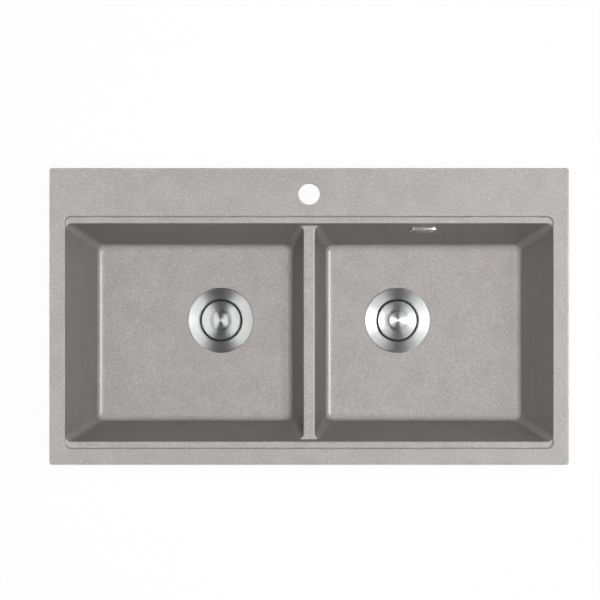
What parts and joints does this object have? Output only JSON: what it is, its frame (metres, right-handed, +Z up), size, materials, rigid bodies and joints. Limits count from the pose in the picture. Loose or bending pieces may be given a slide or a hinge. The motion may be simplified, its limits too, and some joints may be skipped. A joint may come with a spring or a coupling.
{
  "type": "kitchen sink",
  "caption": "Drop-in rectangular kitchen sink of speckled quartz composite, with side-by-side bowls, a low divider, a back deck with a tap hole, and lift-out basket strainers.",
  "frame": {"origin": "middle of the rim's outline, on the worktop's top, which the underside of the rim rests on", "axes": "+X to the right along the rim, +Y towards the deck with the tap hole, +Z up"},
  "size_m": [0.84, 0.48, 0.29],
  "materials": {
    "quartz_composite": "matt moulded quartz composite, grey-beige with light specks",
    "strip_foam": "matt closed-cell sealing strip",
    "brushed_stainless": "brushed in circles",
    "screw_steel": "turned stainless",
    "clip_steel": "zinc-plated strip",
    "seal_rubber": "matt black",
    "waste_plastic": "moulded polypropylene, off-white",
    "nut_brass": "machined"
  },
  "bodies": {
    "sink": {"sink_body": "quartz_composite", "rim_seal_strip": "strip_foam", "left_strainer_flange": "brushed_stainless", "left_flange_gasket": "seal_rubber", "left_body_gasket": "seal_rubber", "left_waste_body": "waste_plastic", "left_clamp_nut": "nut_brass", "left_clamp_screw": "screw_steel", "right_strainer_flange": "brushed_stainless", "right_flange_gasket": "seal_rubber", "right_body_gasket": "seal_rubber", "right_waste_body": "waste_plastic", "right_clamp_nut": "nut_brass", "right_clamp_screw": "screw_steel", "overflow_cover": "brushed_stainless", "overflow_inner_plate": "waste_plastic", "overflow_screw": "screw_steel", "overflow_gasket": "seal_rubber", "overflow_elbow": "waste_plastic", "clip_inserts": "waste_plastic"},
    "left_basket": {"left_basket_cap": "brushed_stainless", "left_basket_knob": "brushed_stainless", "left_basket_stem": "screw_steel", "left_basket_cup": "brushed_stainless", "left_basket_seal": "seal_rubber", "left_basket_nut": "screw_steel"},
    "right_basket": {"right_basket_cap": "brushed_stainless", "right_basket_knob": "brushed_stainless", "right_basket_stem": "screw_steel", "right_basket_cup": "brushed_stainless", "right_basket_seal": "seal_rubber", "right_basket_nut": "screw_steel"},
    "screw_front_1": {"clip_screw_front_1": "screw_steel"},
    "clip_front_1": {"worktop_clip_front_1": "clip_steel"},
    "screw_front_2": {"clip_screw_front_2": "screw_steel"},
    "clip_front_2": {"worktop_clip_front_2": "clip_steel"},
    "screw_front_3": {"clip_screw_front_3": "screw_steel"},
    "clip_front_3": {"worktop_clip_front_3": "clip_steel"},
    "screw_front_4": {"clip_screw_front_4": "screw_steel"},
    "clip_front_4": {"worktop_clip_front_4": "clip_steel"},
    "screw_back_1": {"clip_screw_back_1": "screw_steel"},
    "clip_back_1": {"worktop_clip_back_1": "clip_steel"},
    "screw_back_2": {"clip_screw_back_2": "screw_steel"},
    "clip_back_2": {"worktop_clip_back_2": "clip_steel"},
    "screw_back_3": {"clip_screw_back_3": "screw_steel"},
    "clip_back_3": {"worktop_clip_back_3": "clip_steel"},
    "screw_back_4": {"clip_screw_back_4": "screw_steel"},
    "clip_back_4": {"worktop_clip_back_4": "clip_steel"}
  },
  "joints": [
    {"name": "left_basket_lift", "type": "slide", "parent": "sink", "child": "left_basket", "axis": [0, 0, 1], "range_m": [0, 0.26]},
    {"name": "right_basket_lift", "type": "slide", "parent": "sink", "child": "right_basket", "axis": [0, 0, 1], "range_m": [0, 0.26]},
    {"name": "screw_front_1_draw", "type": "slide", "parent": "sink", "child": "screw_front_1", "axis": [0, 0, 1], "range_m": [0, 0.016]},
    {"name": "swivel_front_1", "type": "hinge", "parent": "screw_front_1", "child": "clip_front_1", "pos_m": [-0.35, -0.221, -0.059], "axis": [0, 0, -1], "range_deg": [0, 90]},
    {"name": "screw_front_2_draw", "type": "slide", "parent": "sink", "child": "screw_front_2", "axis": [0, 0, 1], "range_m": [0, 0.016]},
    {"name": "swivel_front_2", "type": "hinge", "parent": "screw_front_2", "child": "clip_front_2", "pos_m": [-0.15, -0.221, -0.059], "axis": [0, 0, -1], "range_deg": [0, 90]},
    {"name": "screw_front_3_draw", "type": "slide", "parent": "sink", "child": "screw_front_3", "axis": [0, 0, 1], "range_m": [0, 0.016]},
    {"name": "swivel_front_3", "type": "hinge", "parent": "screw_front_3", "child": "clip_front_3", "pos_m": [0.15, -0.221, -0.059], "axis": [0, 0, -1], "range_deg": [0, 90]},
    {"name": "screw_front_4_draw", "type": "slide", "parent": "sink", "child": "screw_front_4", "axis": [0, 0, 1], "range_m": [0, 0.016]},
    {"name": "swivel_front_4", "type": "hinge", "parent": "screw_front_4", "child": "clip_front_4", "pos_m": [0.35, -0.221, -0.059], "axis": [0, 0, -1], "range_deg": [0, 90]},
    {"name": "screw_back_1_draw", "type": "slide", "parent": "sink", "child": "screw_back_1", "axis": [0, 0, 1], "range_m": [0, 0.016]},
    {"name": "swivel_back_1", "type": "hinge", "parent": "screw_back_1", "child": "clip_back_1", "pos_m": [-0.35, 0.221, -0.059], "axis": [0, 0, 1], "range_deg": [0, 90]},
    {"name": "screw_back_2_draw", "type": "slide", "parent": "sink", "child": "screw_back_2", "axis": [0, 0, 1], "range_m": [0, 0.016]},
    {"name": "swivel_back_2", "type": "hinge", "parent": "screw_back_2", "child": "clip_back_2", "pos_m": [-0.15, 0.221, -0.059], "axis": [0, 0, 1], "range_deg": [0, 90]},
    {"name": "screw_back_3_draw", "type": "slide", "parent": "sink", "child": "screw_back_3", "axis": [0, 0, 1], "range_m": [0, 0.016]},
    {"name": "swivel_back_3", "type": "hinge", "parent": "screw_back_3", "child": "clip_back_3", "pos_m": [0.15, 0.221, -0.059], "axis": [0, 0, 1], "range_deg": [0, 90]},
    {"name": "screw_back_4_draw", "type": "slide", "parent": "sink", "child": "screw_back_4", "axis": [0, 0, 1], "range_m": [0, 0.016]},
    {"name": "swivel_back_4", "type": "hinge", "parent": "screw_back_4", "child": "clip_back_4", "pos_m": [0.35, 0.221, -0.059], "axis": [0, 0, 1], "range_deg": [0, 90]}
  ]
}
